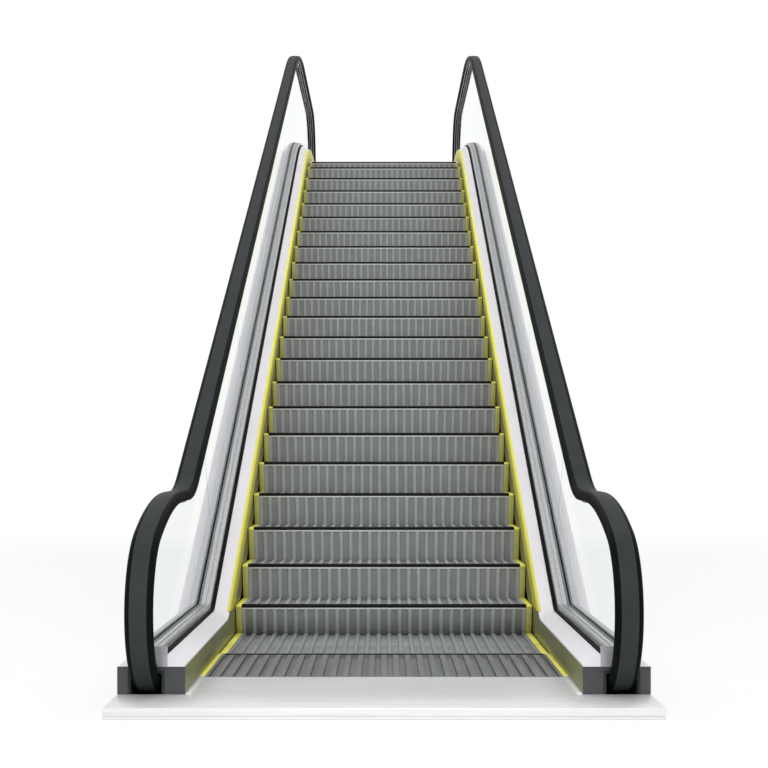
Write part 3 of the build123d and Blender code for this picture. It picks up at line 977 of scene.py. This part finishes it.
# %% Cap outlines
SIDE_OUT, CAP_FOOT = 0.965, 0.0005
DECK_TOP, DECK_SIDE, DECK_FOLD, OUTER_TOP = 0.146, 0.108, 0.008, 0.100
INLET_HALF, INLET_TOP, COLLAR = 0.056, 0.076, 0.010
CAP_THICK, COLLAR_THICK = 0.003, 0.006
arch_low, arch_high = GLASS_X - INLET_HALF, GLASS_X + INLET_HALF
arch = [(arch_high, CAP_FOOT), (arch_high, INLET_TOP), (arch_low, INLET_TOP), (arch_low, CAP_FOOT)]
cap_outline = [(SKIRT_IN, CAP_FOOT), (SKIRT_IN, OUTER_TOP), (SIDE_OUT, OUTER_TOP), (SIDE_OUT, CAP_FOOT)]
cap_outline += arch
deck_outline = [(SKIRT_IN, OUTER_TOP), (SKIRT_IN, DECK_SIDE), (SKIRT_IN + DECK_FOLD, DECK_SIDE)]
deck_outline += [(CLAMP_IN, DECK_TOP), (CLAMP_IN, OUTER_TOP)]
clamp_outline = [(CLAMP_IN, OUTER_TOP), (CLAMP_IN, CLAMP_TOP)]
clamp_outline += [(CLAMP_OUT, CLAMP_TOP), (CLAMP_OUT, OUTER_TOP)]
collar_low, collar_high, collar_top = arch_low - COLLAR, arch_high + COLLAR, INLET_TOP + COLLAR
collar_outline = [(collar_low, CAP_FOOT), (collar_low, collar_top)]
collar_outline += [(collar_high, collar_top), (collar_high, CAP_FOOT)] + arch
print("arch", round(arch_high - arch_low, 3), "m wide")

# %% Caps and collars
END_PIECES = [
    ("_end_cap", cap_outline, CAP_THICK, base_paint, "base_dark"),
    ("_deck_end", deck_outline, CAP_THICK, deck_paint, "deck_pale"),
    ("_clamp_end", clamp_outline, CAP_THICK, clamp_metal, "clamp_aluminium"),
    ("_inlet_collar", collar_outline, COLLAR_THICK, rail_rubber, "handrail_rubber"),
]
for end, face, outward, level in (("lower", FRONT, -1, LOW), ("upper", BACK, 1, HIGH)):
    for name, outline, thick, material, slot in END_PIECES:
        depth = sorted((face, face + outward * thick))
        cap = prism("end", [(x, level + n) for x, n in outline], *depth)
        cap.data.materials.append(material)
        pair(plain(cap), end + name, slot)

# %% [markdown]
# ## Handrail
# The handrail is one endless belt of rubber with an open, C-shaped section that wraps the guide. The
# solid has a bevelled section; here the lips are drawn round in black as painted shade on the sides, and
# a flatter, greyer crown in the rubber's own colour is laid on top. Both sections run along the closed
# loop: along the top, round the upper newel, back out of sight and up round the lower newel.

# %% Handrail line
RAIL_TOP, LOWER_RAIL, UPPER_RAIL, RETURN = 0.826, 0.693, 1.050, 0.008
RAIL_LOWER_BEND, RAIL_UPPER_BEND = 0.500, 2.500
SETBACK = 0.145
SWEEP, TURN = 1.400, 0.296
SWEEP_PARTS, NEWEL_PARTS = 16, 44
UNDER_START, OVER_END = 9, 40
lower_newel, upper_newel = FRONT + SETBACK, BACK - SETBACK
sweep_angle = acos((SWEEP + TURN - LOWER_RAIL + RETURN) / (SWEEP - TURN))
newel_crest = lower_newel + (SWEEP - TURN) * sin(sweep_angle)


def rail_corner(height):
    """How far past the end of the slope the handrail line meets a level height."""
    return (height - RAIL_TOP / cos(SLOPE)) / tan(SLOPE)


def rail_loop():
    """The closed handrail line, and the part of it in the open, as points (y, z)."""
    upper_turn = (UPPER_RAIL - RETURN) / 2
    ahead = bend_up((rail_corner(LOWER_RAIL), LOW + LOWER_RAIL), RAIL_LOWER_BEND)
    ahead += bend_level((RUN + rail_corner(UPPER_RAIL), HIGH + UPPER_RAIL), RAIL_UPPER_BEND)
    over = arc((upper_newel, HIGH + RETURN + upper_turn), upper_turn, 0, pi, NEWEL_PARTS)
    back = step_line(RETURN, lower_newel, upper_newel)[::-1]
    under = arc((lower_newel, LOW + RETURN + TURN), TURN, pi, 2 * pi - sweep_angle, NEWEL_PARTS)
    front = arc((newel_crest, LOW + LOWER_RAIL - SWEEP), SWEEP, -sweep_angle, 0, SWEEP_PARTS)
    closed = ahead + over + back[1:-1] + under + front[1:]
    in_the_open = under[UNDER_START:] + front[1:] + ahead + over[:OVER_END]
    return closed, in_the_open


rail_line, open_line = rail_loop()
print("handrail line of", len(rail_line), "points,", len(open_line), "in the open")

# %% Handrail belt
RAIL_HALF, CROWN, LIP = 0.050, 0.024, -0.018
MOUTH, SEAT = 0.030, 0.0003
SIDE_ROUND, SIDE_LEVEL, SIDE_RISE = 0.0205, 0.0015, 0.0205
SIDE_END, SIDE_PARTS = radians(80), 8
LIP_ROUND, LIP_ANGLES = 0.008, (0.5, 1.0, pi / 2)
CROWN_SIDE, CROWN_FALL = 0.016, 0.0008
# The greyer crown: out from the middle, and up from the crown of the belt.
CROWN_CAP = [(0.032, -0.005), (0.032, -0.0026), (0.030, -0.0018), (CROWN_SIDE, -0.0004), (0.0, 0.0002)]
RAIL_SMOOTH = 40


def both_halves(half):
    """A whole section on the handrail's middle, from its half, which ends in the middle."""
    right = [(GLASS_X + x, out) for x, out in half]
    return right + [(GLASS_X - x, out) for x, out in half[-2::-1]]


lip_middle, side_middle = RAIL_HALF - LIP_ROUND, RAIL_HALF - SIDE_ROUND
side_angles = [SIDE_END * i / SIDE_PARTS for i in range(SIDE_PARTS + 1)]
belt_half = (
    [(MOUTH, SEAT), (MOUTH, LIP), (lip_middle, LIP)]
    + [(lip_middle + LIP_ROUND * sin(a), LIP + LIP_ROUND - LIP_ROUND * cos(a)) for a in LIP_ANGLES]
    + [(side_middle + SIDE_ROUND * cos(a), SIDE_LEVEL + SIDE_RISE * sin(a)) for a in side_angles]
    + [(CROWN_SIDE, CROWN - CROWN_FALL), (0.0, CROWN)]
)
crown_half = [(x, CROWN + up) for x, up in CROWN_CAP]
# The black of the lips is painted shade; the crown keeps the rubber's grey.
belt = [
    run("belt", rail_line, both_halves(belt_half), lip_and_slide_shade_rubber, True, RAIL_SMOOTH),
    run("crown", rail_line, both_halves(crown_half), rail_rubber, True, RAIL_SMOOTH),
]
pair(join("handrail", belt), "handrail_belt", "handrail_rubber", "handrail")

# %% [markdown]
# ## Guide slides
# Where the guide is in the open, its underside shows beside the glass, in the shade of the handrail.
# Two black slides lie there as painted shade, one on each side of the pane, run along the open part of
# the handrail line.

# %% Guide slides
GUIDE_UNDER = -0.026
SLIDE_IN, SLIDE_OUT = 0.008, 0.023
SLIDE_LAP, SLIDE_DEPTH = 0.002, 0.001
top, foot = GUIDE_UNDER + SLIDE_LAP, GUIDE_UNDER - SLIDE_DEPTH
slides = []
# The black slides are painted shade under the guide.
for low, high in ((-SLIDE_OUT, -SLIDE_IN), (SLIDE_IN, SLIDE_OUT)):
    section = [(GLASS_X + x, out) for x, out in ((low, top), (low, foot), (high, foot), (high, top))]
    slides.append(run("slide", open_line, section, lip_and_slide_shade_rubber, sharp=RAIL_SMOOTH))
pair(join("slides", slides), "guide_slides", "handrail_rubber")

# %% [markdown]
# ## Camera
# The picture looks level along the machine from the middle of the lower landing. A level camera keeps
# uprights upright, and a small lens shift puts the horizon where the picture has it.

# %% Camera
FOCAL_PX, HORIZON_PX, SIZE_PX = 1312.5, 452.6, 768
SENSOR = 36.0
EYE, FAR = (0, -6.090, 0.914), 200
camera = bpy.data.objects.new("camera", bpy.data.cameras.new("camera"))
scene.collection.objects.link(camera)
camera.location = EYE
camera.rotation_euler = (radians(90), 0, 0)
camera.data.sensor_width = SENSOR
camera.data.lens = FOCAL_PX / SIZE_PX * SENSOR
camera.data.shift_y = (HORIZON_PX - SIZE_PX / 2) / SIZE_PX
camera.data.clip_end = FAR
scene.camera = camera
print("lens", round(camera.data.lens, 2))

# %% [markdown]
# ## Light
# A bright, even room shows colours about as they are written. The background is plain white wherever
# the camera, a reflection or the glass looks past the object. A broad lamp above and one in front give
# the treads more light than the risers.

# %% Room
ROOM_COLOUR, ROOM_STRENGTH = (0.96, 0.98, 1.0, 1), 0.78
WHITE = (1, 1, 1, 1)
world = bpy.data.worlds.new("studio")
scene.world = world
world.use_nodes = True
nodes, links = world.node_tree.nodes, world.node_tree.links
room = nodes["Background"]
room.inputs["Color"].default_value = ROOM_COLOUR
room.inputs["Strength"].default_value = ROOM_STRENGTH
white = nodes.new("ShaderNodeBackground")
white.inputs["Color"].default_value = WHITE
white.inputs["Strength"].default_value = 1.0
rays = nodes.new("ShaderNodeLightPath")
seen = calc(world.node_tree, "MAXIMUM", rays.outputs["Is Camera Ray"], rays.outputs["Is Glossy Ray"])
seen = calc(world.node_tree, "MAXIMUM", seen, rays.outputs["Is Transmission Ray"])
mixed = nodes.new("ShaderNodeMixShader")
links.new(seen, mixed.inputs["Fac"])
links.new(room.outputs[0], mixed.inputs[1])
links.new(white.outputs[0], mixed.inputs[2])
links.new(mixed.outputs[0], nodes["World Output"].inputs["Surface"])
print("room at", ROOM_STRENGTH)


# %% Lamps
def lamp(name, spot, aim, size, power):
    """A rectangular lamp that looks at a point."""
    light = bpy.data.lights.new(name, "AREA")
    light.shape = "RECTANGLE"
    light.size, light.size_y = size
    light.energy = power
    made = bpy.data.objects.new(name, light)
    scene.collection.objects.link(made)
    made.location = spot
    made.rotation_euler = (Vector(aim) - Vector(spot)).to_track_quat("-Z", "Y").to_euler()
    print("lamp", name, power, "W")


lamp("overhead", (0, 2.0, 9.0), (0, 3.0, 1.5), (6, 10), 150)
lamp("front", (0, -9.0, 5.0), (0, 1.5, 1.5), (5, 1.6), 330)

# %% [markdown]
# ## Floor
# The floor is pale and matt and keeps the soft shadow. Seen by the camera or through the glass it is
# lifted towards the white of the background, and further out it fades away, so no edge shows.

# %% Floor
FLOOR_HALF, FLOOR_LEVEL = 40, -0.001
FLOOR_COLOUR, FLOOR_ROUGH, FLOOR_LIFT = (0.95, 0.95, 0.95, 1), 0.95, 0.8
FADE_CENTRE, FADE_START, FADE_END = (0, 2.0, 0), 3.8, 8.0
corners = [(-1, -1), (1, -1), (1, 1), (-1, 1)]
spots = [(x * FLOOR_HALF, y * FLOOR_HALF, FLOOR_LEVEL) for x, y in corners]
floor = piece("studio_floor", spots, [(0, 1, 2, 3)])
pale = bpy.data.materials.new("pale studio floor")
pale.use_nodes = True
nodes, links = pale.node_tree.nodes, pale.node_tree.links
matt = nodes["Principled BSDF"]
matt.inputs["Base Color"].default_value = FLOOR_COLOUR
matt.inputs["Roughness"].default_value = FLOOR_ROUGH
matt.inputs["Specular IOR Level"].default_value = 0.0
rays = nodes.new("ShaderNodeLightPath")
seen = calc(pale.node_tree, "MAXIMUM", rays.outputs["Is Camera Ray"], rays.outputs["Is Transmission Ray"])
lifted = nodes.new("ShaderNodeMixShader")
links.new(calc(pale.node_tree, "MULTIPLY", seen, FLOOR_LIFT), lifted.inputs["Fac"])
links.new(matt.outputs[0], lifted.inputs[1])
links.new(nodes.new("ShaderNodeEmission").outputs[0], lifted.inputs[2])
spot = nodes.new("ShaderNodeTexCoord")
away = nodes.new("ShaderNodeVectorMath")
away.operation = "DISTANCE"
away.inputs[1].default_value = FADE_CENTRE
fade = nodes.new("ShaderNodeMapRange")
fade.interpolation_type = "SMOOTHSTEP"
fade.inputs["From Min"].default_value = FADE_START
fade.inputs["From Max"].default_value = FADE_END
faded = nodes.new("ShaderNodeMixShader")
links.new(spot.outputs["Object"], away.inputs[0])
links.new(away.outputs["Value"], fade.inputs["Value"])
links.new(fade.outputs["Result"], faded.inputs["Fac"])
links.new(lifted.outputs[0], faded.inputs[1])
links.new(nodes.new("ShaderNodeBsdfTransparent").outputs[0], faded.inputs[2])
links.new(faded.outputs[0], nodes["Material Output"].inputs["Surface"])
floor.data.materials.append(pale)
scene.view_settings.view_transform = "Standard"
print("floor fades from", FADE_START, "to", FADE_END, "m")
